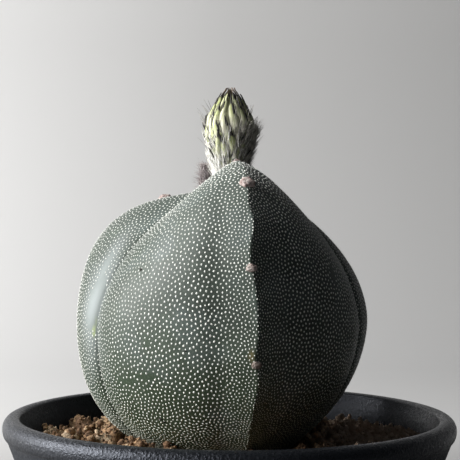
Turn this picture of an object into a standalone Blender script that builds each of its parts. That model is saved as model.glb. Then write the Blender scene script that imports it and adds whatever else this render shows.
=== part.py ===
"""Potted bishop's cap cactus: a three-ribbed stem with a flower bud, in a round pot of gritty soil.

Metres, +Z up. The origin is the centre of the pot's foot, on the surface it stands on.
The plant's front, where its sharpest rib stands, faces -Y.
"""
import math
import random

import bmesh
import bpy
from mathutils import Matrix, Vector

# Pot
RIM_RADIUS = 0.060
POT_HEIGHT = 0.075
LIP_INNER_RADIUS = 0.0555
LIP_INNER_DROP = 0.0009
LIP_CROWN_RADIUS = 0.0573
LIP_GIRTH_DROP = 0.0029
LIP_HEIGHT = 0.0053
LIP_OVERHANG = 0.0010
WALL_TAPER = math.tan(math.radians(21))
FOOT_HEIGHT = 0.0025
FOOT_WIDTH = 0.004
FOOT_CHAMFER = 0.0008
FLOOR_THICKNESS = 0.0045
FLOOR_FILLET = 0.003
DRAIN_RADIUS = 0.008
POT_SIDES = 60

# Gap between pieces that rest on each other
SEAT_GAP = 0.0003

# Soil
SOIL_DEPTH_BELOW_RIM = 0.0098
SOIL_SIDES = 48
GRAVEL_RADIUS = (0.0022, 0.0044)
GRAVEL_WIDTH_RANGE = (0.80, 1.15)
GRAVEL_HEIGHT_RANGE = (0.70, 1.00)
GRAVEL_TRIES = 800
GRAVEL_SPACING = 0.92
GRAVEL_PROUD = 0.15
GRAVEL_START = 0.027
GRAVEL_WALL_ROOM = 0.4

# Stem: azimuths run from the front, positive towards +X, in degrees
STEM_CENTRE = Vector((0.0005, 0.0063))
STEM_GIRTH_ABOVE_RIM = 0.0243
CROWN_RISE = 0.0366
CROWN_DIMPLE = 0.0052
BASE_DROP = 0.0385
BASE_DROP_SLANT = 0.0010
BASE_ROUNDNESS = 2.10
BASE_ROUNDNESS_SLANT = -0.32
ROOT_LENGTH = 0.020
ROOT_RADIUS = 0.009
FLANK_FULLNESS = 3.3
VALLEY_DEPTH = 0.0013
VALLEY_ANGLE = 11.0
GROOVE_DEPTH = 0.0009
GROOVE_ANGLE = 2.5
STEM_COLUMNS_PER_FLANK = 10
STEM_ROWS = 34
COLUMN_CROWDING = 0.06
ROW_CROWDING = 1.25
STEM_CLEARANCE = 1.15 * SEAT_GAP

# One entry for each crest and groove, going round: azimuth, radius, rise to the shoulder and its squareness
RIDGES = (
    ("front crest", 7.3, 0.0456, 0.0436, 2.52),
    ("right groove", 73.0, 0.0369, 0.0371, 1.73),
    ("right crest", 124.0, 0.0452, 0.0276, 2.13),
    ("back groove", 183.0, 0.0394, 0.0368, 1.69),
    ("left crest", 242.0, 0.0451, 0.0344, 3.20),
    ("left groove", 299.0, 0.0420, 0.0364, 1.65),
)

# Areoles: the latitudes where they sit on each crest, and their radii from crown to base
AREOLE_LATITUDES = {
    "front crest": (83.0, 52.0, 16.0, -10.5),
    "right crest": (80.0, 60.0, 31.0, 3.0),
    "left crest": (83.0, 72.0, 40.0, 8.0),
}
AREOLE_RADII = (0.0012, 0.0020, 0.0015, 0.0012)
AREOLE_FLATNESS = 0.55

# Flower bud: its base is given above the rim, and its core by (share of length, radius)
BUD_BASE = Vector((-0.0005, 0.0080, 0.0570))
BUD_TIP_ABOVE_RIM = 0.0878
BUD_PROFILE = (
    (0.0, 0.0030),
    (0.25, 0.0032),
    (0.42, 0.0045),
    (0.56, 0.0054),
    (0.66, 0.0051),
    (0.78, 0.0040),
    (0.88, 0.0025),
    (0.95, 0.0011),
)
BUD_SIDES = 12
BUD_SCALES = 46
BUD_SCALE_SPAN = (0.20, 0.88)
BUD_SCALE_LENGTH = (0.0050, 0.0080)
BUD_SCALE_WIDTH = 0.0021
BUD_SCALE_THICKNESS = 0.0009
BUD_SCALE_LEAN = (20.0, 5.0)

# Young bud beside it
YOUNG_BUD_BASE = Vector((-0.0076, 0.0125, 0.0565))
YOUNG_BUD_LENGTH = 0.0118
YOUNG_BUD_PROFILE = ((0.0, 0.0010), (0.4, 0.0014), (0.75, 0.0013), (0.92, 0.0008))
YOUNG_BUD_SIDES = 8
YOUNG_BUD_SCALES = 13
YOUNG_SCALE_SPAN = (0.3, 0.85)
YOUNG_SCALE_LENGTH = (0.0018, 0.0026)
YOUNG_SCALE_WIDTH = 0.0011
YOUNG_SCALE_THICKNESS = 0.0007
YOUNG_SCALE_LEAN = (24.0, 10.0)

# The scales of both buds: how far their roots sink in, in shares of their thickness, how one differs from the
# next, how far past the core's tip they may reach, and the stretch of core that sets their slope
SCALE_SINK = 0.35
SCALE_VARIATION = (0.92, 1.08)
SCALE_REACH = 1.03
SCALE_SLOPE_SPAN = 0.12

GOLDEN_ANGLE = math.radians(137.508)
RANDOM_SEED = 12


def clear_scene():
    for thing in list(bpy.data.objects):
        bpy.data.objects.remove(thing, do_unlink=True)


def make_collection(name):
    collection = bpy.data.collections.new(name)
    bpy.context.scene.collection.children.link(collection)
    return collection


def make_material(name, colour, roughness):
    material = bpy.data.materials.new(name)
    material.use_nodes = True
    shader = material.node_tree.nodes["Principled BSDF"]
    shader.inputs["Base Color"].default_value = (*colour, 1.0)
    shader.inputs["Roughness"].default_value = roughness
    shader.inputs["Metallic"].default_value = 0.0
    material.diffuse_color = (*colour, 1.0)
    return material


def add_object(name, build, collection, material=None, sharp_angle=40.0):
    """Make an object from a bmesh that build(bm) fills."""
    bm = bmesh.new()
    build(bm)
    mesh = bpy.data.meshes.new(name)
    bm.to_mesh(mesh)
    bm.free()
    mesh.shade_smooth()
    mesh.set_sharp_from_angle(angle=math.radians(sharp_angle))
    if material:
        mesh.materials.append(material)
    thing = bpy.data.objects.new(name, mesh)
    collection.objects.link(thing)
    return thing


def make_cutter(thing):
    thing.hide_render = True
    thing.display_type = "WIRE"


def turned(name, profile, closed, sides, collection, material=None):
    """A profile of (radius, height) points turned about the Z axis; its outer side runs top to bottom."""

    def outline(bm):
        points = [bm.verts.new((radius, 0.0, height)) for radius, height in profile]
        for here, there in zip(points, points[1:]):
            bm.edges.new((here, there))
        if closed:
            bm.edges.new((points[-1], points[0]))

    thing = add_object(name, outline, collection, material)
    screw = thing.modifiers.new("turn", "SCREW")
    screw.steps = sides
    screw.render_steps = sides
    screw.use_merge_vertices = True
    screw.merge_threshold = 0.00001
    screw.use_smooth_shade = True
    return thing


def boolean(thing, operation, operand):
    """Cut or join with an object or a collection; the ribbed skin needs the manifold solver."""
    cut = thing.modifiers.new(operation.lower(), "BOOLEAN")
    cut.operation = operation
    cut.solver = "MANIFOLD"
    if isinstance(operand, bpy.types.Collection):
        cut.operand_type = "COLLECTION"
        cut.collection = operand
    else:
        cut.object = operand
    return cut


def apply_modifiers(thing):
    evaluated = thing.evaluated_get(bpy.context.evaluated_depsgraph_get())
    mesh = bpy.data.meshes.new_from_object(evaluated)
    thing.modifiers.clear()
    thing.data = mesh


def fuse(thing, repeats):
    """Join a collection of small solids to the one they grow from, and remove the collection."""
    boolean(thing, "UNION", repeats)
    apply_modifiers(thing)
    for small in list(repeats.objects):
        bpy.data.objects.remove(small, do_unlink=True)
    bpy.data.collections.remove(repeats)


def arc(centre, radii, start, end, steps):
    """Points of an elliptical arc; angles in degrees from +radius towards +height."""
    angles = [math.radians(start + (end - start) * step / steps) for step in range(steps + 1)]
    return [(centre[0] + radii[0] * math.cos(a), centre[1] + radii[1] * math.sin(a)) for a in angles]


def inner_wall_radius(height):
    return LIP_INNER_RADIUS - WALL_TAPER * (POT_HEIGHT - LIP_INNER_DROP - height)


def outer_wall_radius(height):
    return RIM_RADIUS - LIP_OVERHANG - WALL_TAPER * (POT_HEIGHT - LIP_HEIGHT - height)


def make_pot(collection):
    girth = POT_HEIGHT - LIP_GIRTH_DROP
    floor_top = FOOT_HEIGHT + FLOOR_THICKNESS
    foot_outer = outer_wall_radius(FOOT_HEIGHT)
    inner_roll = (LIP_CROWN_RADIUS - LIP_INNER_RADIUS, LIP_INNER_DROP)
    profile = arc((LIP_CROWN_RADIUS, POT_HEIGHT - LIP_INNER_DROP), inner_roll, 180, 90, 2)
    profile += arc((LIP_CROWN_RADIUS, girth), (RIM_RADIUS - LIP_CROWN_RADIUS, LIP_GIRTH_DROP), 90, 0, 4)[1:]
    under_roll = (LIP_OVERHANG, LIP_HEIGHT - LIP_GIRTH_DROP)
    profile += arc((RIM_RADIUS - LIP_OVERHANG, girth), under_roll, 0, -90, 3)[1:]
    profile += [
        (foot_outer, FOOT_HEIGHT),
        (foot_outer - FOOT_CHAMFER, 0.0),
        (foot_outer - FOOT_WIDTH, 0.0),
        (foot_outer - FOOT_WIDTH - FOOT_CHAMFER, FOOT_HEIGHT),
        (DRAIN_RADIUS, FOOT_HEIGHT),
        (DRAIN_RADIUS, floor_top),
        (inner_wall_radius(floor_top) - FLOOR_FILLET, floor_top),
        (inner_wall_radius(floor_top + FLOOR_FILLET), floor_top + FLOOR_FILLET),
    ]
    material = make_material("charcoal_ceramic", (0.030, 0.032, 0.037), 0.62)
    return turned("pot", profile, True, POT_SIDES, collection, material)


def pot_inside(name, top, collection, material=None):
    """The solid that fills the pot's inside up to a height, a seat gap clear of its wall and floor."""
    bottom = FOOT_HEIGHT + FLOOR_THICKNESS + SEAT_GAP
    clear = SEAT_GAP / math.cos(math.atan(WALL_TAPER))
    profile = [
        (0.0, top),
        (inner_wall_radius(top) - clear, top),
        (inner_wall_radius(bottom + FLOOR_FILLET) - clear, bottom + FLOOR_FILLET),
        (inner_wall_radius(bottom) - FLOOR_FILLET - clear, bottom),
        (0.0, bottom),
    ]
    return turned(name, profile, False, SOIL_SIDES, collection, material)


def ridge_shape(index, share):
    """Azimuth, radius, rise and squareness at a share of the way round from one ridge to the next."""
    here = RIDGES[index]
    there = RIDGES[(index + 1) % len(RIDGES)]
    turn = (there[1] - here[1]) % 360
    azimuth = here[1] + turn * share
    crest, groove, towards_crest = (here, there, 1 - share) if index % 2 == 0 else (there, here, share)
    from_groove = turn * towards_crest
    radius = groove[2] + (crest[2] - groove[2]) * towards_crest ** FLANK_FULLNESS
    radius -= VALLEY_DEPTH * math.exp(-((from_groove / VALLEY_ANGLE) ** 2))
    radius -= GROOVE_DEPTH * math.exp(-((from_groove / GROOVE_ANGLE) ** 2))
    blend = towards_crest * towards_crest * (3 - 2 * towards_crest)
    rise = groove[3] + (crest[3] - groove[3]) * blend
    squareness = groove[4] + (crest[4] - groove[4]) * blend
    return azimuth, radius, rise, squareness


def stem_point(index, share, latitude):
    """A point of the stem's skin, on the flank after a ridge, at a latitude in degrees."""
    azimuth, girth, rise, squareness = ridge_shape(index, share)
    around = math.radians(azimuth)
    up = math.radians(latitude)
    power = 2 / (squareness if latitude > 0 else BASE_ROUNDNESS + BASE_ROUNDNESS_SLANT * math.sin(around))
    radius = girth * max(math.cos(up), 0.0) ** power
    if latitude > 0:
        shoulder = 1 - math.exp(-((radius / CROWN_DIMPLE) ** 2))
        height = (CROWN_RISE + (rise - CROWN_RISE) * shoulder) * math.sin(up) ** power
    else:
        drop = BASE_DROP + BASE_DROP_SLANT * math.sin(around) * math.cos(up)
        root = ROOT_LENGTH * math.exp(-((radius / ROOT_RADIUS) ** 2))
        height = -drop * math.sin(-up) ** power - root
    return Vector((
        STEM_CENTRE.x + radius * math.sin(around),
        STEM_CENTRE.y - radius * math.cos(around),
        POT_HEIGHT + STEM_GIRTH_ABOVE_RIM + height,
    ))


def stem_surface(bm):
    """A sphere of columns and rows whose points are moved onto the ribbed skin."""
    columns = STEM_COLUMNS_PER_FLANK * len(RIDGES)
    bmesh.ops.create_uvsphere(bm, u_segments=columns, v_segments=STEM_ROWS, radius=1.0)
    for vertex in bm.verts:
        place = vertex.co.normalized()
        column = round(math.atan2(place.y, place.x) / math.tau * columns) % columns
        index, step = divmod(column, STEM_COLUMNS_PER_FLANK)
        share = step / STEM_COLUMNS_PER_FLANK
        share -= COLUMN_CROWDING * math.sin(math.tau * share)
        level = math.degrees(math.asin(max(-1.0, min(1.0, place.z)))) / 90
        latitude = math.copysign(90 * (1 - (1 - abs(level)) ** ROW_CROWDING), level)
        vertex.co = stem_point(index, share, latitude)
    bmesh.ops.recalc_face_normals(bm, faces=bm.faces)


def swell(bm, distance):
    """Move every point out along its normal."""
    bm.normal_update()
    moved = [vertex.co + vertex.normal * distance for vertex in bm.verts]
    for vertex, place in zip(bm.verts, moved):
        vertex.co = place


def make_stem(collection):
    material = make_material("stem_skin", (0.115, 0.150, 0.105), 0.55)
    stem = add_object("cactus_body", stem_surface, collection, material, 60.0)
    areoles = make_collection("areoles")
    for index, (ridge, _, _, _, _) in enumerate(RIDGES):
        for latitude, radius in zip(AREOLE_LATITUDES.get(ridge, ()), AREOLE_RADII):
            seat = stem_point(index, 0.0, latitude)
            along = stem_point(index, 0.0, latitude + 1) - stem_point(index, 0.0, latitude - 1)
            outward = Vector((seat.x - STEM_CENTRE.x, seat.y - STEM_CENTRE.y, 0.0)).normalized()
            normal = (outward - along * outward.dot(along) / along.length_squared).normalized()
            frame = normal.to_track_quat("Z", "Y").to_matrix().to_4x4()
            place = Matrix.Translation(seat) @ frame @ Matrix.Diagonal((1.0, 1.0, AREOLE_FLATNESS, 1.0))

            def pad(bm, radius=radius, place=place):
                bmesh.ops.create_uvsphere(bm, u_segments=8, v_segments=6, radius=radius, matrix=place)

            add_object("areole", pad, areoles)
    fuse(stem, areoles)
    stem.data.shade_smooth()
    return stem


def make_soil(collection, cutters, stem_clearance):
    top = POT_HEIGHT - SOIL_DEPTH_BELOW_RIM
    material = make_material("gritty_soil", (0.130, 0.085, 0.055), 0.95)
    soil = pot_inside("soil", top, collection, material)
    apply_modifiers(soil)
    gravel = make_collection("gravel")
    draw = random.Random(RANDOM_SEED)
    placed = []
    for _ in range(GRAVEL_TRIES):
        size = draw.uniform(*GRAVEL_RADIUS)
        reach = inner_wall_radius(top) - GRAVEL_WALL_ROOM * size
        distance = math.sqrt(draw.uniform(GRAVEL_START ** 2, reach ** 2))
        around = draw.uniform(0, math.tau)
        place = Vector((distance * math.cos(around), distance * math.sin(around)))
        if any((place - other).length < GRAVEL_SPACING * (size + room) for other, room in placed):
            continue
        placed.append((place, size))
        axis = Vector((draw.uniform(-1, 1), draw.uniform(-1, 1), draw.uniform(-1, 1))).normalized()
        turn = Matrix.Rotation(draw.uniform(0, math.tau), 4, axis)
        widths = (draw.uniform(*GRAVEL_WIDTH_RANGE), draw.uniform(*GRAVEL_WIDTH_RANGE))
        stretch = Matrix.Diagonal((*widths, draw.uniform(*GRAVEL_HEIGHT_RANGE), 1.0))
        seat = Matrix.Translation((place.x, place.y, top + size * GRAVEL_PROUD)) @ turn @ stretch

        def lump(bm, size=size, seat=seat):
            bmesh.ops.create_icosphere(bm, subdivisions=1, radius=size, matrix=seat)

        add_object("lump", lump, gravel)
    fuse(soil, gravel)
    inside = pot_inside("pot_inside", POT_HEIGHT - LIP_INNER_DROP, cutters)
    make_cutter(inside)
    boolean(soil, "INTERSECT", inside)
    boolean(soil, "DIFFERENCE", stem_clearance)
    return soil


def profile_radius(profile, share):
    """Smooth radius along a bud, from its (share of length, radius) points to nothing at the tip."""
    points = list(profile) + [(1.0, 0.0)]
    for (low, low_radius), (high, high_radius) in zip(points, points[1:]):
        if share <= high:
            part = (share - low) / (high - low)
            return low_radius + (high_radius - low_radius) * part
    return 0.0


def bud_core(name, base, length, profile, sides, collection, material):
    turned_profile = [(0.0, length)]
    turned_profile += [(radius, share * length) for share, radius in reversed(profile)]
    turned_profile += [(0.0, 0.0)]
    core = turned(name, turned_profile, False, sides, collection, material)
    apply_modifiers(core)
    core.data.transform(Matrix.Translation(base + Vector((0.0, 0.0, POT_HEIGHT))))
    return core


def bud_scale(bm, length, width, thickness):
    """One pointed scale along +Z, widest low down, its root at the origin and its back towards +X."""
    bmesh.ops.create_uvsphere(bm, u_segments=5, v_segments=5, radius=1.0)
    for vertex in bm.verts:
        up = (vertex.co.z + 1) / 2
        fullness = 1.25 * (1 - up) ** 0.6
        bow = thickness * 1.2 * math.sin(math.pi * up)
        vertex.co = Vector((
            vertex.co.x * thickness / 2 * fullness + bow,
            vertex.co.y * width / 2 * fullness,
            up * length,
        ))


def stands_clear(place, skin):
    """Whether a point is outside a closed skin."""
    _, nearest, normal, _ = skin.closest_point_on_mesh(place)
    return (place - nearest).dot(normal) > 0


def add_scales(core, base, length, profile, spiral, shape, leans, draw, skin):
    """Scales in a spiral up a bud, from where it leaves the skin it grows out of.

    spiral is (count, share of length where it starts, where it ends); shape is (lengths, width, thickness).
    """
    count, start, end = spiral
    lengths, width, thickness = shape
    scales = make_collection("scales")
    for number in range(count):
        share = number / (count - 1)
        along = start + (end - start) * share
        around = number * GOLDEN_ANGLE
        radius = profile_radius(profile, along)
        size = lengths[0] + (lengths[1] - lengths[0]) * math.sin(math.pi * share) ** 0.7
        size = min(size * draw.uniform(*SCALE_VARIATION), (SCALE_REACH - along) * length)
        ahead = profile_radius(profile, min(along + SCALE_SLOPE_SPAN, 1.0))
        slope = (ahead - radius) / (SCALE_SLOPE_SPAN * length)
        lean = math.atan(slope) + math.radians(leans[0] + (leans[1] - leans[0]) * share)
        root = Matrix.Translation(base + Vector((0.0, 0.0, POT_HEIGHT + along * length)))
        place = root @ Matrix.Rotation(around, 4, "Z")
        place = place @ Matrix.Translation((radius - SCALE_SINK * thickness, 0.0, 0.0))
        place = place @ Matrix.Rotation(lean, 4, "Y")
        if not stands_clear(place.translation, skin):
            continue

        def scale(bm, size=size, place=place):
            bud_scale(bm, size, width, thickness)
            bmesh.ops.transform(bm, matrix=place, verts=bm.verts)

        add_object("scale", scale, scales)
    fuse(core, scales)


def make_buds(collection, stem_clearance):
    draw = random.Random(RANDOM_SEED)
    length = BUD_TIP_ABOVE_RIM - BUD_BASE.z
    material = make_material("bud_scales", (0.330, 0.340, 0.180), 0.60)
    bud = bud_core("flower_bud", BUD_BASE, length, BUD_PROFILE, BUD_SIDES, collection, material)
    spiral = (BUD_SCALES, *BUD_SCALE_SPAN)
    shape = (BUD_SCALE_LENGTH, BUD_SCALE_WIDTH, BUD_SCALE_THICKNESS)
    add_scales(bud, BUD_BASE, length, BUD_PROFILE, spiral, shape, BUD_SCALE_LEAN, draw, stem_clearance)
    boolean(bud, "DIFFERENCE", stem_clearance)

    material = make_material("young_bud_wool", (0.150, 0.115, 0.120), 0.90)
    base = YOUNG_BUD_BASE
    length = YOUNG_BUD_LENGTH
    profile = YOUNG_BUD_PROFILE
    young = bud_core("young_bud", base, length, profile, YOUNG_BUD_SIDES, collection, material)
    spiral = (YOUNG_BUD_SCALES, *YOUNG_SCALE_SPAN)
    shape = (YOUNG_SCALE_LENGTH, YOUNG_SCALE_WIDTH, YOUNG_SCALE_THICKNESS)
    add_scales(young, base, length, profile, spiral, shape, YOUNG_SCALE_LEAN, draw, stem_clearance)
    boolean(young, "DIFFERENCE", stem_clearance)


def main():
    clear_scene()
    plant = make_collection("potted_cactus")
    cutters = make_collection("cutters")
    make_pot(plant)
    make_stem(plant)

    def clearance(bm):
        stem_surface(bm)
        swell(bm, STEM_CLEARANCE)

    stem_clearance = add_object("stem_clearance", clearance, cutters)
    make_cutter(stem_clearance)
    make_soil(plant, cutters, stem_clearance)
    make_buds(plant, stem_clearance)


main()
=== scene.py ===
"""Potted bishop's cap cactus: the looks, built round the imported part.

Metres, +Z up, the plant's front towards -Y.
"""

import random
from collections import namedtuple
from math import atan, ceil, cos, dist, hypot, pi, radians, sin, sqrt, tan, tau

import bmesh
import bpy
import numpy as np
from mathutils import Matrix, Vector, noise
from mathutils.bvhtree import BVHTree
from mathutils.kdtree import KDTree


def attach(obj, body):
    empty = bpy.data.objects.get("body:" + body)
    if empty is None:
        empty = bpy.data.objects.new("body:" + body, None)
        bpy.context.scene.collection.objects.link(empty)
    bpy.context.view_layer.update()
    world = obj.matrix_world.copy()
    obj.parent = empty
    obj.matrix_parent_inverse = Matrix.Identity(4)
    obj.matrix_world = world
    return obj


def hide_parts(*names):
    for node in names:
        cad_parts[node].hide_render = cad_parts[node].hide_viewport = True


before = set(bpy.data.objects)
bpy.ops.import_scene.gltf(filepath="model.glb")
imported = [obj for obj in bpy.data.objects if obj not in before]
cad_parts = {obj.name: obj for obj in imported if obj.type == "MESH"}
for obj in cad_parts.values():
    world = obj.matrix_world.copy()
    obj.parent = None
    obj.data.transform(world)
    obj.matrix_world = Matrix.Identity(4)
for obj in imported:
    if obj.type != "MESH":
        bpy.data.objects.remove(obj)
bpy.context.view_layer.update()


# Camera: level, a third of a metre in front of the pot and a little above its rim, with a long lens.
def put_in_scene(name, data):
    """An object at the origin that holds the data."""
    thing = bpy.data.objects.new(name, data)
    bpy.context.scene.collection.objects.link(thing)
    return thing


camera = put_in_scene("camera", bpy.data.cameras.new("camera"))
camera.location = (-0.0002, -0.335, 0.124)
camera.rotation_euler = (radians(90), radians(-0.34), 0)
camera.data.sensor_width = 36
camera.data.lens = 97.75
camera.data.clip_start = 0.01
bpy.context.scene.camera = camera


# Pot: a round pot of dark unglazed ware with a rolled rim, a tapering wall, a foot ring and one drain hole.
# It is turned in one piece, so the outline is spun about the upright axis, with the slight unevenness of clay.
def wire(near, kind, inputs=None, output=0, **settings):
    """Add a node to a tree, or to that of a socket or node, and give one output.

    Inputs maps a socket to a value, to an output or to a list of outputs.
    """
    tree = near.id_data
    node = tree.nodes.new(kind)
    for name, value in settings.items():
        setattr(node, name, value)
    for key, value in (inputs or {}).items():
        for one in value if isinstance(value, list) else [value]:
            if isinstance(one, bpy.types.NodeSocket):
                tree.links.new(one, node.inputs[key])
            else:
                node.inputs[key].default_value = one
    return node.outputs[output] if len(node.outputs) else None


def reckon(operation, *inputs, **settings):
    """A math node's result."""
    return wire(inputs[0], "ShaderNodeMath", dict(enumerate(inputs)), operation=operation, **settings)


def times(first, second):
    return reckon("MULTIPLY", first, second)


def scaled(vector, amount):
    """A vector times a number."""
    return wire(vector, "ShaderNodeVectorMath", {0: vector, 3: amount}, operation="SCALE")


def part_of(vector, axis):
    """One part of a vector: 0, 1 or 2."""
    return wire(vector, "ShaderNodeSeparateXYZ", {0: vector}, axis)


def graded(value, start, end, low=0.0, high=1.0):
    """Low before the start, high past the end, and even in between."""
    return wire(value, "ShaderNodeMapRange", {0: value, 1: start, 2: end, 3: low, 4: high})


def new_tree(name, sizes):
    """A geometry tree with named inputs; sizes maps each to its default, or to the kind of thing it takes."""
    tree = bpy.data.node_groups.new(name, "GeometryNodeTree")
    tree.interface.new_socket("Geometry", in_out="INPUT", socket_type="NodeSocketGeometry")
    tree.interface.new_socket("Geometry", in_out="OUTPUT", socket_type="NodeSocketGeometry")
    for label, value in sizes.items():
        kind = value if isinstance(value, str) else type(value).__name__.capitalize()
        socket = tree.interface.new_socket(label, in_out="INPUT", socket_type="NodeSocket" + kind)
        if kind != value:
            socket.default_value = value
    return tree, tree.nodes.new("NodeGroupInput").outputs


def end_tree(geometry, material):
    """Close a tree: realize what it instanced, give it its material and send it out."""
    real = wire(geometry, "GeometryNodeRealizeInstances", {0: geometry})
    smooth = wire(real, "GeometryNodeSetShadeSmooth", {0: real})
    painted = wire(real, "GeometryNodeSetMaterial", {0: smooth, "Material": material})
    wire(real, "NodeGroupOutput", {0: painted})


def grow(name, mesh, tree, sizes, sharp_angle=None):
    """Run a tree on a mesh, with sizes for its named inputs, and keep the result as a plain mesh."""
    thing = put_in_scene(name, mesh)
    modifier = thing.modifiers.new("grown", "NODES")
    modifier.node_group = tree
    for socket in tree.interface.items_tree:
        if socket.in_out == "INPUT" and socket.name in sizes:
            modifier[socket.identifier] = sizes[socket.name]
    graph = bpy.context.evaluated_depsgraph_get()
    plain = bpy.data.meshes.new_from_object(thing.evaluated_get(graph), depsgraph=graph)
    thing.modifiers.clear()
    thing.data = plain
    plain.name = name
    if sharp_angle:
        plain.set_sharp_from_angle(angle=radians(sharp_angle))
    return thing


def new_material(name, roughness):
    """A named material with its shader and its object coordinates."""
    material = bpy.data.materials.new(name)
    material.use_nodes = True
    shader = material.node_tree.nodes["Principled BSDF"]
    shader.inputs["Roughness"].default_value = roughness
    return material, shader, wire(shader, "ShaderNodeTexCoord", output="Object")


def feed(shader, value, socket="Base Color"):
    shader.id_data.links.new(value, shader.inputs[socket])


def plain_mesh(name, points, edges=(), faces=()):
    mesh = bpy.data.meshes.new(name)
    mesh.from_pydata(points, edges, faces)
    return mesh


def speckle(place, scale, detail=2.0, roughness=0.5):
    """Noise at a number of blotches to the metre."""
    return wire(place, "ShaderNodeTexNoise",
                {"Vector": place, "Scale": scale, "Detail": detail, "Roughness": roughness})


def ramp(value, stops):
    """A ramp of (position, colour) stops, where one number stands for a grey."""
    result = wire(value, "ShaderNodeValToRGB", {0: value})
    elements = result.node.color_ramp.elements
    while len(elements) < len(stops):
        elements.new(1.0)
    for element, (position, colour) in zip(elements, stops):
        element.position = position
        element.color = (*colour, 1.0) if isinstance(colour, tuple) else (colour, colour, colour, 1.0)
    return result


def mixed(share, first, second):
    """Mix two colours by a share."""
    first, second = [(*colour, 1.0) if isinstance(colour, tuple) else colour for colour in (first, second)]
    return wire(share, "ShaderNodeMix", {0: share, 6: first, 7: second}, 2, data_type="RGBA")


def bumped(shader, height, strength, distance):
    """Raise the shader's surface by a height."""
    sizes = {"Height": height, "Strength": strength, "Distance": distance}
    feed(shader, wire(shader, "ShaderNodeBump", sizes), "Normal")


def pushed_out(surface, amount):
    """Move a surface along its normals."""
    shift = scaled(wire(surface, "GeometryNodeInputNormal"), amount)
    return wire(surface, "GeometryNodeSetPosition", {0: surface, "Offset": shift})


rim_radius = 0.060
pot_height = 0.075
lip_inner_radius = 0.0555
lip_inner_drop = 0.0009
lip_crown_radius = 0.0573
lip_girth_drop = 0.0029
lip_height = 0.0053
lip_overhang = 0.0010
wall_taper = tan(radians(21))
foot_height = 0.0025
foot_width = 0.004
foot_chamfer = 0.0008
floor_top = 0.007
floor_fillet = 0.003
drain_radius = 0.008
longest_step = 0.0025
turning_radius = 0.03
turning = {"Sides": 192, "Turning radius": turning_radius, "Unevenness": 0.00016, "Blotches": 35.0}
handled_from, handled_to = 0.0665, 0.0720


def inner_wall(height):
    return lip_inner_radius - wall_taper * (pot_height - lip_inner_drop - height)


def outer_wall(height):
    return rim_radius - lip_overhang - wall_taper * (pot_height - lip_height - height)


def arc(centre, radii, start, end, steps):
    """Points of an elliptical arc; angles in degrees from outwards towards up."""
    angles = np.radians(np.linspace(start, end, steps + 1))
    return [(centre[0] + radii[0] * cos(a), centre[1] + radii[1] * sin(a)) for a in angles]


girth = pot_height - lip_girth_drop
outline = arc((lip_crown_radius, pot_height - lip_inner_drop),
              (lip_crown_radius - lip_inner_radius, lip_inner_drop), 180, 90, 8)
outline += arc((lip_crown_radius, girth), (rim_radius - lip_crown_radius, lip_girth_drop), 90, 0, 12)[1:]
outline += arc((rim_radius - lip_overhang, girth), (lip_overhang, lip_height - lip_girth_drop), 0, -90, 8)[1:]
foot_outer = outer_wall(foot_height)
outline += [
    (foot_outer, foot_height),
    (foot_outer - foot_chamfer, 0.0),
    (foot_outer - foot_width, 0.0),
    (foot_outer - foot_width - foot_chamfer, foot_height),
    (drain_radius, foot_height),
    (drain_radius, floor_top),
    (inner_wall(floor_top) - floor_fillet, floor_top),
    (inner_wall(floor_top + floor_fillet), floor_top + floor_fillet),
]
dense_outline = []
for here, there in zip(outline, outline[1:] + outline[:1]):
    steps = max(1, ceil(dist(here, there) / longest_step))
    dense_outline += [tuple(np.add(here, np.subtract(there, here) * step / steps)) for step in range(steps)]


def charcoal_ware(name, sheen, graininess):
    """Dark unglazed ware with light grains; its lip is burnished by handling."""
    ware, shader, place = new_material(name, 0.55)
    body = ramp(speckle(place, 90, 3.0),
                [(0.3, (0.0042, 0.0048, 0.0060)), (0.7, (0.0072, 0.0082, 0.0100))])
    grains = ramp(speckle(place, 1600, 3.0, 0.7), [(0.56, 0.0), (0.68, 0.20)])
    feed(shader, mixed(grains, body, (0.070, 0.078, 0.095)))
    handled = graded(part_of(place, 2), handled_from, handled_to)
    coarse = speckle(place, 1600, 2.0, 0.6)
    burnished = ramp(coarse, [(0.38, 0.52), (0.62, 0.24)])
    rough = ramp(coarse, [(0.3, 0.88), (0.7, 0.66)])
    feed(shader, mixed(handled, rough, burnished), "Roughness")
    shader.inputs["Specular IOR Level"].default_value = sheen
    shader.inputs["Specular Tint"].default_value = (0.76, 0.83, 1.0, 1.0)
    bumped(shader, coarse, 1.0, graininess)
    return ware


pot_ware = charcoal_ware("charcoal_ware", 0.50, 0.00026)
inside_ware = charcoal_ware("charcoal_ware_inside", 0.22, 0.00008)

tree, given = new_tree("turned_pot", turning)
profile = wire(tree, "GeometryNodeMeshToCurve", {0: given[0]})
circle = wire(tree, "GeometryNodeCurvePrimitiveCircle",
              {"Resolution": given["Sides"], "Radius": given["Turning radius"]})
circle = wire(tree, "GeometryNodeSetCurveNormal", {0: circle}, mode="Z_UP")
turned = wire(tree, "GeometryNodeCurveToMesh", {"Curve": circle, "Profile Curve": profile})
bumps = wire(tree, "ShaderNodeTexNoise", {"Scale": given["Blotches"], "Detail": 1.0})
end_tree(pushed_out(turned, times(reckon("SUBTRACT", bumps, 0.5), given["Unevenness"])), pot_ware)
count = len(dense_outline)
corners = [(radius - turning_radius, -height, 0.0) for radius, height in dense_outline]
half_section = plain_mesh("pot_outline", corners, edges=[(i, (i + 1) % count) for i in range(count)])
pot = grow("pot_turned", half_section, tree, turning, sharp_angle=40)
pot.data.materials.append(inside_ware)
for face in pot.data.polygons:
    outwards = Vector((face.center.x, face.center.y, 0)).normalized()
    if face.normal.dot(outwards) < -0.5 and face.center.z > floor_top:
        face.material_index = 1
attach(pot, "root")
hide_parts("pot")


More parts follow.
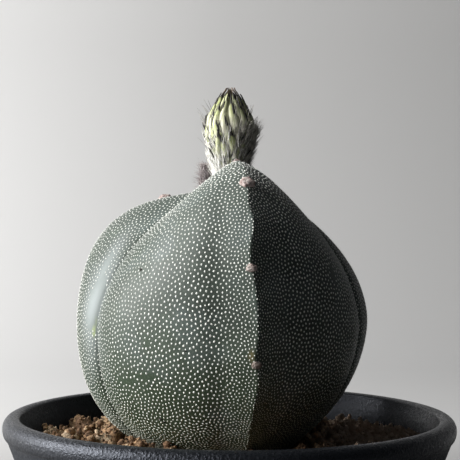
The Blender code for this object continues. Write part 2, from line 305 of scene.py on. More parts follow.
# Cactus body: one ribbed stem with three sharp crests and deep grooves, which narrows below the soil to its root.
# Its waxy grey-green skin is grown in one piece, with bare spots and a brown scar; a pale streak and green marks
# on a groove's edge are painted highlights, and painted shade darkens its grooves and its right side.
stem_centre = (0.0005, 0.0063)
girth_height = pot_height + 0.0243
crown_rise = 0.0366
crown_dimple = 0.0052
base_drop = 0.0385
base_drop_slant = 0.0010
base_roundness = 2.10
base_roundness_slant = -0.32
root_length = 0.020
root_radius = 0.009
flank_fullness = 3.3
# A broad valley, the groove in it and the crease in that: depth, and half width in degrees
groove_cuts = ((0.0013, 11.0), (0.0009, 2.5), (0.0007, 0.9))
crest_dip = 0.00055
crest_dip_angle = 11.0
crest_dip_width = 5.0
crest_cusp = 0.0006
crest_cusp_angle = 8.0
# Bends of the front crest: degrees sideways, latitude and spread
front_bends = ((0.9, -8, 15), (-1.6, 35, 18), (1.5, 33, 6), (-1.0, 18, 6), (-1.1, -8, 5), (0.6, -19, 6))
# Going round: azimuth from the front, radius, rise to the shoulder and its squareness, crests and grooves in turn
ridges = np.array((
    (7.3, 0.0456, 0.0436, 2.52),
    (73.0, 0.0369, 0.0371, 1.73),
    (124.0, 0.0452, 0.0276, 2.13),
    (183.0, 0.0394, 0.0368, 1.69),
    (242.0, 0.0451, 0.0344, 3.20),
    (299.0, 0.0420, 0.0364, 1.65),
))
columns_per_flank = 40
columns = 6 * columns_per_flank
rows = 210
# The skin's unevenness: height and bumps to the metre
relief_sizes = ((0.00010, 75), (0.00004, 320))
# How the front view turns into the pixels that follow
focal_pixels = 1249
sight_height = 229.8
axis_column = 230.76
patch_depth = 0.006
# Bare places: pixel of the front view, half width and half height in metres, how bare, and how pale; the paleness
# is a painted sheen, a soft highlight
bare_places = [
    ((95, 304), 0.0036, 0.0084, 1.0, 0.75),
    ((104, 272), 0.0020, 0.0085, 0.7, 0.6),
    ((99, 326), 0.0009, 0.0045, 1.0, 0.3),
    ((128, 382), 0.0042, 0.0013, 0.9, 0.0),
    ((148, 377), 0.0048, 0.0013, 0.8, 0.0),
    ((149, 343), 0.0013, 0.0013, 0.9, 0.0),
    ((326, 243), 0.0024, 0.0036, 0.7, 0.2),
    ((334, 274), 0.0016, 0.0050, 0.7, 0.2),
    ((112, 398), 0.0015, 0.0030, 0.4, 0.0),
]
# Marks: pixel, half width and half height in metres, and how strong; the green ones are painted highlights where
# the groove's edge catches light, and below zero means brown, a healed scar
highlight_and_scar_places = [
    ((97, 321), 0.0003, 0.0018, 0.5),
    ((95, 332), 0.0005, 0.0014, 1.0),
    ((253, 356), 0.0008, 0.0015, -0.8),
]


def bell(distance, width):
    """One in the middle, and less and less away from it."""
    return np.exp(-((distance / width) ** 2))


def skin_at(flank, share, latitude, clear=0.0):
    """Points of the skin: the flank after a ridge, the share of the way round it and the latitude in degrees."""
    flank = np.asarray(flank)
    here, there = ridges[flank], ridges[(flank + 1) % 6]
    turn = (there[..., 0] - here[..., 0]) % 360
    rising = flank % 2 == 1
    towards_crest = np.where(rising, share, 1 - share)
    crest = np.where(rising[..., None], there, here)
    groove = np.where(rising[..., None], here, there)
    azimuth = here[..., 0] + turn * share
    sway = sum(bend * bell(latitude - middle, spread) for bend, middle, spread in front_bends)
    azimuth = azimuth + np.where((flank == 0) | (flank == 5), sway * towards_crest ** 2, 0)
    girth = groove[..., 1] + (crest[..., 1] - groove[..., 1]) * towards_crest ** flank_fullness + clear
    for depth, width in groove_cuts:
        girth = girth - depth * bell(turn * towards_crest, width)
    from_crest = turn * (1 - towards_crest)
    girth = girth - crest_dip * bell(from_crest - crest_dip_angle, crest_dip_width)
    girth = girth - crest_cusp * from_crest / crest_cusp_angle * np.exp(1 - from_crest / crest_cusp_angle)
    blend = towards_crest * towards_crest * (3 - 2 * towards_crest)
    rise = groove[..., 2] + (crest[..., 2] - groove[..., 2]) * blend
    squareness = groove[..., 3] + (crest[..., 3] - groove[..., 3]) * blend
    around, up = np.radians(azimuth), np.radians(latitude)
    below = base_roundness + base_roundness_slant * np.sin(around)
    power = 2 / np.where(latitude > 0, squareness, below)
    radius = girth * np.maximum(np.cos(up), 0) ** power
    shoulder = 1 - bell(radius, crown_dimple)
    above = (crown_rise + (rise - crown_rise) * shoulder) * np.abs(np.sin(up)) ** power
    drop = base_drop + base_drop_slant * np.sin(around) * np.cos(up)
    under = -drop * np.abs(np.sin(up)) ** power - root_length * bell(radius, root_radius) - clear
    return np.stack((stem_centre[0] + radius * np.sin(around), stem_centre[1] - radius * np.cos(around),
                     girth_height + np.where(latitude > 0, above, under)), axis=-1)


def ring_faces(ring_count, size, flipped=False):
    """Faces of a closed skin of rings in turn, then a point that closes its start and one that closes its end."""
    faces, first, final = [], ring_count * size, (ring_count - 1) * size
    for low in range(0, final, size):
        high = low + size
        faces += [(low + c, low + (c + 1) % size, high + (c + 1) % size, high + c) for c in range(size)]
    faces += [(first, (c + 1) % size, c) for c in range(size)]
    faces += [(first + 1, final + c, final + (c + 1) % size) for c in range(size)]
    return [(face[0], *face[:0:-1]) for face in faces] if flipped else faces


def bumps_at(points, sizes):
    """Unevenness at points; sizes holds a height and a number of bumps to the metre, layer by layer."""
    return np.array([sum(high * noise.noise(Vector(p) * fine) for high, fine in sizes) for p in points])


def store(mesh, name, values):
    """Keep a number or a vector for each point of a mesh."""
    values = np.asarray(values, dtype=np.float32)
    kind, channel = ("FLOAT_VECTOR", "vector") if values.ndim == 2 else ("FLOAT", "value")
    attribute = mesh.attributes.get(name) or mesh.attributes.new(name, kind, "POINT")
    attribute.data.foreach_set(channel, values.ravel())


def stored(shader, name):
    """What a material reads of a kept value."""
    return wire(shader, "ShaderNodeAttribute", output="Fac", attribute_name=name)


column_flank, column_step = np.divmod(np.arange(columns), columns_per_flank)
column_share = column_step / columns_per_flank
column_share = column_share - 0.10 * np.sin(tau * column_share)
row_level = np.linspace(-1, 1, rows + 1)[1:-1]
row_latitude = np.sign(row_level) * 90 * (1 - (1 - np.abs(row_level)) ** 1.25)
skin = skin_at(column_flank, column_share, row_latitude[:, None]).reshape(-1, 3)
places = np.vstack((skin, skin_at(0, 0.0, np.array([-90.0, 90.0]))))
faces = ring_faces(len(row_latitude), columns)
skin_mesh = plain_mesh("cactus_skin", places.tolist(), faces=faces)
skin_tree = BVHTree.FromPolygons(places.tolist(), faces)


def seen_at(column, row):
    """The point and normal of the skin behind a pixel of the front view."""
    ray = Vector(((column - axis_column) / focal_pixels, 1.0, (sight_height - row) / focal_pixels)).normalized()
    return skin_tree.ray_cast(camera.location, ray)[:2]


def away_from(pixel, half_width, half_height):
    """How far the skin's points are from the middle of a patch, squared and in half sizes."""
    point, normal = seen_at(*pixel)
    offset = places - np.array(point)
    sideways = Vector((0, 0, 1)).cross(normal).normalized()
    upwards = normal.cross(sideways)
    across, along = offset @ np.array(sideways) / half_width, offset @ np.array(upwards) / half_height
    return across ** 2 + along ** 2 + (np.abs(offset @ np.array(normal)) / patch_depth) ** 2


bare, pale, scar = np.zeros((3, len(places)))
# The paleness of the bare places is a painted sheen, a soft highlight on the bare skin
for pixel, half_width, half_height, strength, painted_sheen in bare_places:
    away = away_from(pixel, half_width, half_height)
    bare = np.maximum(bare, strength * np.exp(-away ** 2))
    pale = np.maximum(pale, painted_sheen * np.exp(-0.55 * away))
# Green marks are painted highlights on the groove's edge; the brown one is a healed scar
for pixel, half_width, half_height, strength in highlight_and_scar_places:
    scar += strength * np.exp(-away_from(pixel, half_width, half_height))
towards_crest = np.tile(np.where(column_flank % 2 == 1, column_share, 1 - column_share), len(row_latitude))
towards_crest = np.append(towards_crest, (0.0, 0.0))
normals = np.empty(len(places) * 3, dtype=np.float32)
skin_mesh.vertices.foreach_get("normal", normals)
places = places + normals.reshape(-1, 3) * bumps_at(places, relief_sizes)[:, None]
skin_mesh.vertices.foreach_set("co", places.astype(np.float32).ravel())
for name, values in (("towards_crest", towards_crest), ("pale", pale), ("bare", bare), ("scar", scar)):
    store(skin_mesh, name, values)
skin_tree = BVHTree.FromPolygons(places.tolist(), faces)
skin_mesh.shade_smooth()

stem_skin, shader, place = new_material("waxy_skin", 0.55)
shader.inputs["Specular IOR Level"].default_value = 0.38
shader.inputs["Specular Tint"].default_value = (0.93, 0.98, 1.0, 1.0)
sideways, height = part_of(place, 0), part_of(place, 2)
mottle = speckle(place, 140, 4.0)
dust = speckle(place, 2600, 2.0, 0.6)
painted_sheen, highlight_and_scar_share = stored(shader, "pale"), stored(shader, "scar")
leftwards = graded(sideways, -0.014, -0.030, high=0.62)
lowered = graded(height, 0.126, 0.104)
flesh = ramp(
    mottle, [(0.30, (0.033, 0.046, 0.036)), (0.55, (0.045, 0.061, 0.048)), (0.75, (0.058, 0.079, 0.060))])
bloom = speckle(place, 60, 3.0, 0.6)
browned = times(highlight_and_scar_share, -1.0)
# Greener low down, a bluish bloom in patches, paler at the crown, painted shade in the grooves and green low at
# the left;
# then the bare places, a pale streak painted as a soft sheen, green painted highlights on the groove's edge, a
# brown scar, dust and painted shade on the right side
for share, tint in (
    (graded(height, 0.105, 0.070, high=0.8), (0.054, 0.082, 0.036)),
    (ramp(bloom, [(0.50, 0.0), (0.72, 0.55)]), (0.130, 0.165, 0.170)),
    (graded(height, 0.116, 0.140, high=0.55), (0.135, 0.160, 0.148)),
    # painted shade: darker in the creases of the grooves
    (ramp(stored(shader, "towards_crest"), [(0.0, 0.9), (0.035, 0.0)]), (0.016, 0.026, 0.010)),
    (times(leftwards, lowered), (0.022, 0.036, 0.020)),
    (ramp(stored(shader, "bare"), [(0.2, 0.0), (0.7, 0.7)]), (0.030, 0.052, 0.026)),
    # painted highlight: the bare streak is painted pale as a soft sheen
    (painted_sheen, (0.35, 0.385, 0.400)),
    # painted highlight: green where the groove's edge catches light
    (ramp(highlight_and_scar_share, [(0.1, 0.0), (0.7, 0.8)]), (0.33, 0.40, 0.19)),
    (ramp(browned, [(0.1, 0.0), (0.7, 0.7)]), (0.17, 0.135, 0.045)),
    (ramp(dust, [(0.52, 0.0), (0.72, 0.22)]), (0.30, 0.33, 0.29)),
    # painted shade: the right flank, away from the window, is darker
    (graded(sideways, 0.004, 0.014, high=0.42), (0.024, 0.030, 0.027)),
):
    flesh = mixed(share, flesh, tint)
feed(shader, flesh)
waxy = ramp(mottle, [(0.3, 0.48), (0.7, 0.60)])
feed(shader, mixed(painted_sheen, waxy, (0.85, 0.85, 0.85)), "Roughness")
bumped(shader, dust, 0.20, 0.00008)
skin_mesh.materials.append(stem_skin)
cactus = put_in_scene("cactus_skin", skin_mesh)
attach(cactus, "root")
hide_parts("cactus_body")


# Soil: a coarse gritty mix that fills the pot to just under its rim, with rough lumps, crumbs and grit on it.
# It is filled in round the stem, so the bed's hole follows the stem's underside down to the root.
soil_top = pot_height - 0.0098
seat_gap = 0.0003
stem_clear = 0.00035
bed_bottom = floor_top + seat_gap
depth_steps = 281
under_rings, top_rings, wall_rings = 26, 22, 12
heap_height, heap_reach = 0.0017, 0.04
heave_sizes = ((0.0007, 160), (0.0004, 500))
room_low, room_high, room_lift = -0.0026, 0.0055, 0.0016
grain_sizes = ("Seed", "Spacing", "Smallest", "Largest", "Detail", "Proud", "Unevenness", "Lumpiness", "Keep bed")
strewings = {
    "soil_bed": (5, 0.0066, 0.0020, 0.0042, 3, 0.15, 1.2, 420.0, 1),
    "soil_crumbs": (9, 0.0019, 0.0004, 0.0012, 2, 0.4, 1.4, 900.0, 0),
    "soil_fines": (2, 0.00115, 0.0002, 0.0006, 1, 0.4, 1.0, 1500.0, 0),
}

bed_columns = np.arange(0, columns, 2)
bed_size = len(bed_columns)
bed_flank, bed_share = column_flank[bed_columns], column_share[bed_columns]
depths = np.linspace(-90, -20, depth_steps)
under = skin_at(bed_flank[:, None], bed_share[:, None], depths, clear=stem_clear)
contact_depth = np.array([np.interp(soil_top, line[:, 2], depths) for line in under])
bed_rings = [skin_at(bed_flank, bed_share, -90 + (contact_depth + 90) * share, clear=stem_clear)
             for share in np.linspace(0.02, 1, under_rings) ** 0.8]
contact = bed_rings[-1]
azimuths = np.arctan2(contact[:, 0], -contact[:, 1])
outward = np.stack((np.sin(azimuths), -np.cos(azimuths), np.zeros(bed_size)), axis=1)
wall_clear = seat_gap / cos(atan(wall_taper))
wall_edge = outward * (inner_wall(soil_top) - wall_clear) + np.array((0, 0, soil_top))
for share in np.linspace(0, 1, top_rings + 1)[1:]:
    circle = contact + (wall_edge - contact) * share
    heaped = heap_height * np.clip(np.abs(circle[:, 0]) / heap_reach, 0, 1)
    circle[:, 2] = soil_top + (bumps_at(circle, heave_sizes) + heaped) * min(1.0, 8 * share, 20 * (1 - share))
    bed_rings.append(circle)
for height in np.linspace(soil_top, bed_bottom + floor_fillet, wall_rings)[1:]:
    bed_rings.append(outward * (inner_wall(height) - wall_clear) + np.array((0, 0, height)))
bottom_radius = inner_wall(bed_bottom) - floor_fillet - wall_clear
for share in (1, 0.75, 0.5, 0.25):
    bed_rings.append(outward * bottom_radius * share + np.array((0, 0, bed_bottom)))
bed_places = np.vstack(bed_rings + [under[0, :1], np.array([[0, 0, bed_bottom]])])
bed_mesh = plain_mesh("soil_bed", bed_places.tolist(), faces=ring_faces(len(bed_rings), bed_size, flipped=True))


def room_round(point):
    """How large a grain may be at a point of the bed, between the wall and the stem."""
    if not room_low < point[2] - soil_top < room_high:
        return 0.0
    raised = Vector((point[0], point[1], soil_top + room_lift))
    nearest, normal, _, to_stem = skin_tree.find_nearest(raised)
    if (raised - nearest).dot(normal) < 0:
        return 0.0
    to_wall = (inner_wall(raised.z) - hypot(point[0], point[1])) * cos(atan(wall_taper))
    return max(0.0, min(to_stem, to_wall))


def carried(tree, name, kind="FLOAT"):
    """What a geometry tree reads of a kept value."""
    return wire(tree, "GeometryNodeInputNamedAttribute", {"Name": name}, data_type=kind)


def drawn(tree, low, high, seed):
    """A random number for each point, or a random vector."""
    if isinstance(low, tuple):
        return wire(tree, "FunctionNodeRandomValue", {0: low, 1: high, "Seed": seed}, data_type="FLOAT_VECTOR")
    return wire(tree, "FunctionNodeRandomValue", {2: low, 3: high, "Seed": seed}, 1, data_type="FLOAT")


def kept(geometry, name, value):
    """Keep a value for each point inside a geometry tree."""
    return wire(geometry, "GeometryNodeStoreNamedAttribute", {0: geometry, "Name": name, "Value": value},
                data_type="FLOAT", domain="POINT")


def aimed(tree, name):
    """A rotation that turns +Z along a kept vector."""
    vector = carried(tree, name, "FLOAT_VECTOR")
    return wire(tree, "FunctionNodeAlignRotationToVector", {"Vector": vector}, axis="Z")


def spun(angle, rotation=None):
    """A rotation about +Z, on its own or after another."""
    turn = wire(angle, "FunctionNodeAxisAngleToRotation", {"Axis": (0, 0, 1), "Angle": angle})
    if rotation is None:
        return turn
    return wire(angle, "FunctionNodeRotateRotation", {0: rotation, 1: turn}, rotation_space="LOCAL")


def laid_on(points, shape, rotation, scale):
    """Lay a copy of a shape on each point."""
    return wire(points, "GeometryNodeInstanceOnPoints",
                {"Points": points, "Instance": shape, "Rotation": rotation, "Scale": scale})


store(bed_mesh, "room", [room_round(p) for p in bed_places])

soil_grit, shader, place = new_material("soil_grit", 0.93)
crumb = speckle(place, 1100, 5.0, 0.7)
brown = ramp(stored(shader, "tone"), [
    (0.0, (0.20, 0.112, 0.060)), (0.35, (0.32, 0.185, 0.100)), (0.70, (0.47, 0.29, 0.16)),
    (0.90, (0.70, 0.48, 0.28)), (1.0, (0.82, 0.66, 0.47))])
# painted shade: the low hollows of the crumbly bump are darker
colour = mixed(ramp(crumb, [(0.34, 0.0), (0.58, 1.0)]), (0.120, 0.074, 0.046), brown)
# painted light: the soil at the right lies in the stem's shadow and is painted lighter
painted_light_right = graded(part_of(place, 0), 0.020, 0.034, high=0.95)
feed(shader, mixed(painted_light_right, colour, (0.62, 0.47, 0.36)))
bumped(shader, crumb, 1.0, 0.0010)

tree, given = new_tree("strewn_grains", dict(zip(grain_sizes, strewings["soil_bed"])))
room = carried(tree, "room")
facing_up = reckon("GREATER_THAN", part_of(wire(tree, "GeometryNodeInputNormal"), 2), 0.1)
open_bed = times(reckon("GREATER_THAN", room, given["Smallest"]), facing_up)
strewn = wire(tree, "GeometryNodeDistributePointsOnFaces", {
    "Mesh": given[0], "Selection": open_bed, "Distance Min": given["Spacing"], "Density Max": 4e6,
    "Density Factor": 1.0, "Seed": given["Seed"]}, distribute_method="POISSON")
fitting = reckon("MINIMUM", drawn(tree, given["Smallest"], given["Largest"], given["Seed"]), room)
strewn = kept(kept(strewn, "size", fitting), "tone", drawn(tree, 0.0, 1.0, 7))
size = carried(tree, "size")
lifted = wire(tree, "ShaderNodeCombineXYZ", {2: times(size, given["Proud"])})
raised = wire(tree, "GeometryNodeSetPosition", {0: strewn, "Offset": lifted})
stone = wire(tree, "GeometryNodeMeshIcoSphere", {"Radius": 1.0, "Subdivisions": given["Detail"]})
turned = wire(tree, "FunctionNodeEulerToRotation", {0: drawn(tree, (0, 0, 0), (6.28, 6.28, 6.28), 3)})
squashed = scaled(drawn(tree, (0.65, 0.65, 0.55), (1.1, 1.1, 1.0), 4), size)
real = wire(tree, "GeometryNodeRealizeInstances", {0: laid_on(raised, stone, turned, squashed)})
bumps = wire(tree, "ShaderNodeTexNoise", {"Scale": given["Lumpiness"], "Detail": 4.0, "Roughness": 0.65})
cells = wire(tree, "ShaderNodeTexVoronoi", {"Scale": given["Lumpiness"]})
creased = reckon("SUBTRACT", reckon("MULTIPLY_ADD", cells, -0.5, bumps), 0.28)
uneven = pushed_out(real, times(times(creased, given["Unevenness"]), size))
with_bed = wire(tree, "GeometryNodeSwitch", {0: given["Keep bed"], 2: given[0]}, input_type="GEOMETRY")
end_tree(wire(tree, "GeometryNodeJoinGeometry", {0: [with_bed, uneven]}), soil_grit)

for name, sizes in strewings.items():
    soil = grow(name, bed_mesh.copy(), tree, dict(zip(grain_sizes, sizes)))
    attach(soil, "root")
    if name == "soil_bed":
        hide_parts("soil")
        # The crumbs and the grit then lie on the lumps too
        bed_mesh = soil.data.copy()
        store(bed_mesh, "room", [room_round(corner.co) for corner in bed_mesh.vertices])


# Felt flecks: little tufts of white wool, pressed flat on the skin in rows, one piece for each rib.
# They stand closer and smaller in the grooves, along the crests and near the soil, and leave bare places free.
fleck_spacing = 0.00103
fleck_tries = 150000
fleck_sizes = {"Width": 0.49, "Height": 0.64, "Thickness": 0.22, "Sides": 6, "Seed": 21}
# Round the crown and just above the soil the flecks run together into short curved lines
worm_height, worm_span, worm_foot, worm_foot_span = 0.1345, 0.0045, 0.0830, 0.010
# Each rib reaches from groove to groove, in degrees round from the front
rib_spans = (("front", 299, 73), ("right", 73, 183), ("left", 183, 299))

draw = np.random.default_rng(11)
triangles = np.array([(f[0], f[i], f[i + 1]) for f in faces for i in range(1, len(f) - 1)])
corners = places[triangles]
areas = np.linalg.norm(np.cross(corners[:, 1] - corners[:, 0], corners[:, 2] - corners[:, 0]), axis=1)
picked = draw.choice(len(triangles), fleck_tries, p=areas / areas.sum())
mix = draw.random((fleck_tries, 2))
mix[mix.sum(axis=1) > 1] = 1 - mix[mix.sum(axis=1) > 1]
mix = np.column_stack((1 - mix.sum(axis=1), mix))
spots = (corners[picked] * mix[:, :, None]).sum(axis=1)


def azimuth_of(points):
    return np.degrees(np.arctan2(points[:, 0] - stem_centre[0], stem_centre[1] - points[:, 1]))


def spacing_at(points, groove_distance, bareness):
    """How far apart the flecks stand at points of the skin; 0 where there are none."""
    height, azimuth = points[:, 2] - soil_top, azimuth_of(points)
    share = 1.02 - 0.18 * bell(groove_distance, 0.20) - 0.30 * bell(1 - groove_distance, 0.15)
    share += 0.17 * np.clip((points[:, 2] - 0.128) / 0.006, 0, 1)
    share -= 0.22 * np.clip((0.022 - height) / 0.018, 0, 1)
    share -= 0.08 * ((azimuth > ridges[0, 0]) & (azimuth < ridges[1, 0]))
    share = np.clip(share, 0.60, 1.02)
    share = np.where((height < -0.0015) | (bareness > 0.45) | (groove_distance < 0.018), 0, share)
    return share * fleck_spacing


def values_at(values):
    return (values[triangles[picked]] * mix).sum(axis=1)


def neighbours(points):
    """A tree that finds the points near a place."""
    near = KDTree(len(points))
    for number, point in enumerate(points):
        near.insert(point, number)
    near.balance()
    return near


apart = spacing_at(spots, values_at(towards_crest), values_at(bare))
open_skin = apart > 0
spots, apart = spots[open_skin], apart[open_skin]
near = neighbours(spots)
free = np.ones(len(spots), dtype=bool)
chosen = []
for number, spot in enumerate(spots):
    if free[number]:
        chosen.append(number)
        for _, other, _ in near.find_range(spot, apart[number] * 0.86):
            free[other] = False
spots, apart = spots[chosen], apart[chosen]
# The chosen spots push one another apart until they stand evenly
for _ in range(6):
    near = neighbours(spots)
    settled = []
    for number, spot in enumerate(spots):
        here, push, reach = Vector(spot), Vector(), apart[number] * 1.5
        for other, index, distance in near.find_range(here, reach):
            if index != number and distance > 0:
                push += (here - other) / distance * (reach - distance)
        settled.append(skin_tree.find_nearest(here + push * 0.16)[0])
    spots = np.array(settled)
fleck_normals = np.array([skin_tree.find_nearest(Vector(spot))[1] for spot in spots])

fleck_wool, shader, place = new_material("white_felt", 0.9)
tuft = speckle(place, 5000, 2.0)
white = ramp(tuft, [(0.3, (0.80, 0.83, 0.78)), (0.7, (0.95, 0.96, 0.93))])
# the flecks turn greyer low down, near the soil
greyer_low = graded(part_of(place, 2), 0.084, 0.070, high=0.65)
feed(shader, mixed(greyer_low, white, (0.36, 0.385, 0.30)))
bumped(shader, tuft, 0.3, 0.00005)

tree, given = new_tree("felt_flecks", fleck_sizes)
along = wire(tree, "FunctionNodeAlignRotationToVector", {"Rotation": aimed(tree, "outward"), "Vector": (0, 0, 1)},
             axis="Y", pivot_axis="Z")
tall = times(carried(tree, "stretch"), given["Height"])
shape = wire(tree, "ShaderNodeCombineXYZ", {0: given["Width"], 1: tall, 2: given["Thickness"]})
amount = times(drawn(tree, 0.84, 1.14, given["Seed"]), carried(tree, "apart"))
tuft = wire(tree, "GeometryNodeMeshUVSphere", {"Segments": given["Sides"], "Rings": 2, "Radius": 0.5})
end_tree(laid_on(given[0], tuft, spun(carried(tree, "twist"), along), scaled(shape, amount)), fleck_wool)

joined = np.clip((spots[:, 2] - worm_height) / worm_span, 0, 1)
joined = joined + 0.8 * np.clip((worm_foot - spots[:, 2]) / worm_foot_span, 0, 1)
wander = bumps_at(spots, ((1, 260),))
fleck_stretch = 1 + 0.7 * joined
fleck_twist = 0.45 * draw.standard_normal(len(spots)) * (1 - joined) + 5.0 * wander * joined
fleck_azimuth = azimuth_of(spots) % 360
for rib, start, end in rib_spans:
    within = (fleck_azimuth - start) % 360 < (end - start) % 360
    points = plain_mesh("fleck_places", spots[within].tolist())
    for name, values in (
            ("outward", fleck_normals), ("apart", apart), ("stretch", fleck_stretch), ("twist", fleck_twist)):
        store(points, name, values[within])
    flecks = grow(f"felt_flecks_{rib}", points, tree, fleck_sizes)
    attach(flecks, "root")


# Areoles: woolly cushions in a row down each crest, pinkish grey felt with brown scurf, grown fast to the skin.
# The lower ones are older, browner and flatter. Each is a lump set on the crest, squarely to the skin.
areole_latitudes = {0: (83.0, 53.2, 16.0, -10.5), 2: (80.0, 60.0, 31.0, 3.0), 4: (83.0, 72.0, 40.0, 8.0)}
# From the top down: radius, height along the crest for its width, and age
areole_sizes = ((0.0011, 0.90, 0.1), (0.0019, 0.95, 0.0), (0.0013, 0.74, 0.35), (0.0012, 0.76, 0.75))
areole_flatness = 0.66


def lump(mesh, subdivisions):
    """The points of a new round lump in a mesh."""
    return bmesh.ops.create_icosphere(mesh, subdivisions=subdivisions, radius=1.0)["verts"]


def set_lump(mesh, lump_points, place, facing):
    """Move a lump to a place and turn its +Z to where it faces."""
    turn = facing.to_track_quat("Z", "Y").to_matrix().to_4x4()
    bmesh.ops.transform(mesh, matrix=Matrix.Translation(place) @ turn, verts=lump_points)


def finished(name, mesh, material, smooth=False):
    """Turn a mesh under work into an object of the scene."""
    data = bpy.data.meshes.new(name)
    mesh.to_mesh(data)
    mesh.free()
    if smooth:
        data.shade_smooth()
    if material:
        data.materials.append(material)
    return put_in_scene(name, data)


cushion_felt, shader, place = new_material("areole_felt", 0.95)
felt = ramp(speckle(place, 900, 4.0, 0.6), [
    (0.32, (0.09, 0.060, 0.052)), (0.44, (0.33, 0.25, 0.235)), (0.58, (0.52, 0.44, 0.42)),
    (0.72, (0.76, 0.74, 0.69))])
feed(shader, mixed(stored(shader, "age"), felt, (0.15, 0.125, 0.105)))
bumped(shader, speckle(place, 3500, 3.0), 0.5, 0.00015)
cushions = bmesh.new()
age_layer = cushions.verts.layers.float.new("age")
for flank, latitudes in areole_latitudes.items():
    for latitude, (radius, tallness, age) in zip(latitudes, areole_sizes):
        low, seat, high = (Vector(skin_at(flank, 0.0, latitude + step)) for step in (-1, 0, 1))
        outwards = Vector((seat.x - stem_centre[0], seat.y - stem_centre[1], 0)).normalized()
        along = (high - low).normalized()
        cushion = lump(cushions, 4)
        for vertex in cushion:
            wobble = noise.noise(vertex.co * 1.6 + seat * 1000) * 0.22
            wobble += noise.noise(vertex.co * 7 + seat * 900) * 0.16
            vertex.co = vertex.co * (1 + wobble) * radius
            vertex.co.y *= tallness
            vertex.co.z *= areole_flatness
            vertex[age_layer] = age
        set_lump(cushions, cushion, seat, (outwards - along * outwards.dot(along)).normalized())
areoles = finished("areoles", cushions, cushion_felt, smooth=True)
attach(areoles, "root")


# Scabs: a few tiny black and brown marks where the skin was pricked and healed over, low bumps grown into it.
# Each is a flat lump, half sunk in the skin behind a pixel of the front view.
scab_half_thickness = 0.00032
# Pixel, half width and half height in metres
scab_places = (((142, 270), 0.00036, 0.00042), ((162, 419), 0.00055, 0.00018), ((166, 422), 0.00040, 0.00020),
               ((187, 351), 0.00020, 0.00022), ((121, 405), 0.00022, 0.00018))


def speckled_material(name, roughness, scale, stops, detail=2.0):
    """A material of one mottled colour."""
    material, shader, place = new_material(name, roughness)
    feed(shader, ramp(speckle(place, scale, detail), stops))
    return material


crust_stops = [(0.35, (0.008, 0.007, 0.006)), (0.65, (0.030, 0.024, 0.018))]
scab_crust = speckled_material("scab_crust", 0.9, 2500, crust_stops)
scabs = bmesh.new()
for pixel, half_width, half_height in scab_places:
    point, normal = seen_at(*pixel)
    scab = lump(scabs, 2)
    for vertex in scab:
        vertex.co = (vertex.co.x * half_width, vertex.co.y * half_height, vertex.co.z * scab_half_thickness)
    set_lump(scabs, scab, point, normal)
skin_scabs = finished("skin_scabs", scabs, scab_crust)
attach(skin_scabs, "root")


# Flower bud: a closed bud on the crown. Pointed scales overlap in a spiral up its core, pale yellow-green with
# whitish edges and black bristly points, dark bristles stand on its shaded side, and white wool fills its foot.
# A bud: the middle of its foot, its length, its widest radius, and radii at shares of the length
Bud = namedtuple("Bud", "base length width profile")
bud = Bud(Vector((-0.0005, 0.0080, pot_height + 0.0570)), 0.0308, 0.0058, (
    (0.0, 0.0022), (0.20, 0.0025), (0.32, 0.0034), (0.45, 0.0048), (0.58, 0.0058), (0.68, 0.0058), (0.79, 0.0047),
    (0.88, 0.0031), (0.95, 0.0015), (1.0, 0.0)))
# A scale's width along it, as shares
blade_outline = ((0, 0.10, 0.30, 0.50, 0.60, 0.67, 0.80, 0.92, 1.0),
                 (0.60, 0.84, 1.0, 0.97, 0.78, 0.40, 0.24, 0.14, 0.03))
golden_angle = radians(137.508)
bristle_count, bristles_all_round = 1250, 111
wool_count, wool_on_tube = 1350, 1120


def bud_radius(bud, share):
    return np.interp(share, *zip(*bud.profile))


def turned_core(name, bud, material, sides, steps):
    """A closed core turned to a bud's outline."""
    points = []
    for share in np.linspace(0, 1, steps + 1)[:-1]:
        radius = bud_radius(bud, share)
        points += [bud.base + Vector((radius * sin(a), -radius * cos(a), share * bud.length))
                   for a in np.linspace(0, tau, sides, endpoint=False)]
    points += [bud.base, bud.base + Vector((0, 0, bud.length))]
    data = plain_mesh(name, points, faces=ring_faces(steps, sides))
    data.shade_smooth()
    data.materials.append(material)
    return put_in_scene(name, data)


flesh_stops = [(0.3, (0.045, 0.042, 0.030)), (0.7, (0.14, 0.13, 0.08))]
core_flesh = speckled_material("bud_flesh", 0.8, 1200, flesh_stops, detail=3.0)
bud_core = turned_core("bud_core", bud, core_flesh, sides=40, steps=40)
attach(bud_core, "root")
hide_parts("flower_bud")


def scale_blade(name, thickness, lift, across_steps, along_steps):
    """One flat-lying scale of unit length and width: root at the origin, tip along +Y, its back towards +Z."""
    mesh = bmesh.new()
    along_layer = mesh.verts.layers.float.new("along")
    across_layer = mesh.verts.layers.float.new("across")
    sheets = []
    for side in (1, -1):
        sheet = []
        for row in range(along_steps + 1):
            along = row / along_steps
            width = np.interp(along, *blade_outline)
            line = []
            for step in range(across_steps + 1):
                across = 2 * step / across_steps - 1
                rim = sqrt(max(0.0, 1 - across * across))
                keel = 0.35 * thickness * (1 - abs(across)) * (1 - along)
                bulge = 0.022 * sin(pi * min(1.0, along / 0.62)) * (1 - across * across)
                height = lift * along * along + bulge + side * thickness * rim * (0.5 - 0.3 * along) + keel
                vertex = mesh.verts.new((across * width / 2, along, height))
                vertex[along_layer] = along
                vertex[across_layer] = across
                line.append(vertex)
            sheet.append(line)
        sheets.append(sheet)
        for low, high in zip(sheet, sheet[1:]):
            for step in range(across_steps):
                quad = (low[step], low[step + 1], high[step + 1], high[step])
                mesh.faces.new(quad if side == 1 else quad[::-1])
    outer, inner = sheets
    for end in (0, -1):
        for step in range(across_steps):
            quad = (outer[end][step], outer[end][step + 1], inner[end][step + 1], inner[end][step])
            mesh.faces.new(quad[::-1] if end == 0 else quad)
    bmesh.ops.remove_doubles(mesh, verts=mesh.verts, dist=0.0005)
    bmesh.ops.recalc_face_normals(mesh, faces=mesh.faces)
    return finished(name, mesh, None)


